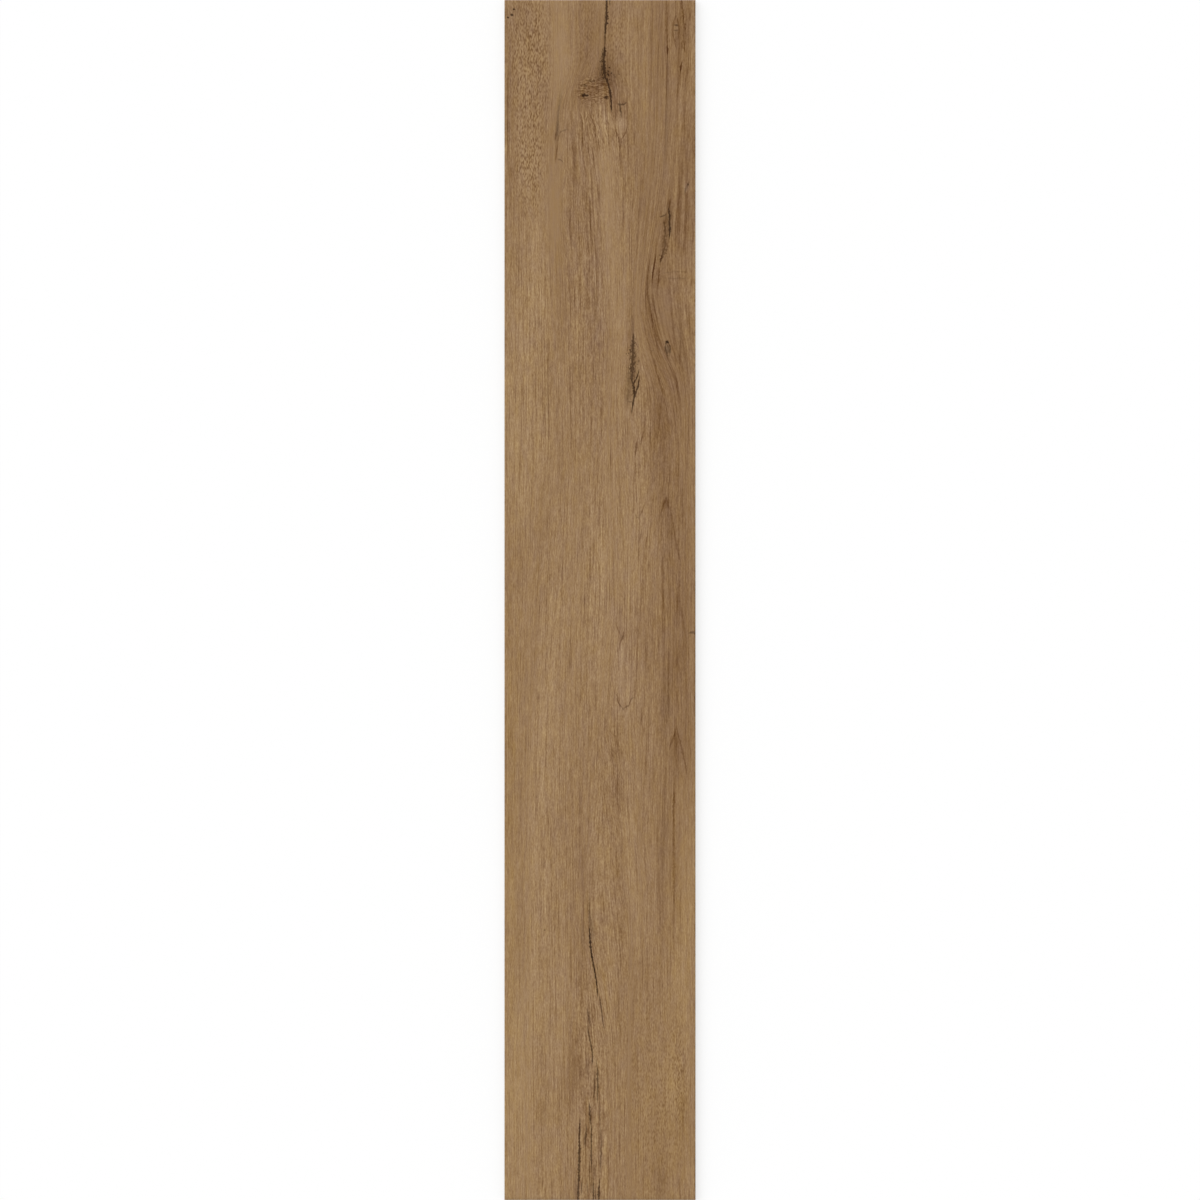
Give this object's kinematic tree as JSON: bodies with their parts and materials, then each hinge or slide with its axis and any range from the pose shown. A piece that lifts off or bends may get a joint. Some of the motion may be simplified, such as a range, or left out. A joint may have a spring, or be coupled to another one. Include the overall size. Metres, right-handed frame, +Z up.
{
  "type": "wood-look porcelain plank tile",
  "caption": "Long flat rectangular ceramic tile with an oak-grain printed face, finely bevelled edges and a keyed back for adhesive, laid as floor or wall covering.",
  "frame": {"origin": "middle of the underside, on the plane of the back's ribs", "axes": "+X across the plank, +Y along it towards the end with the knot, +Z up out of the printed face"},
  "size_m": [0.191, 1.2, 0.009],
  "materials": {
    "oak_print_porcelain": "matte"
  },
  "bodies": {
    "root": {"plank_tile": "oak_print_porcelain"}
  },
  "joints": []
}
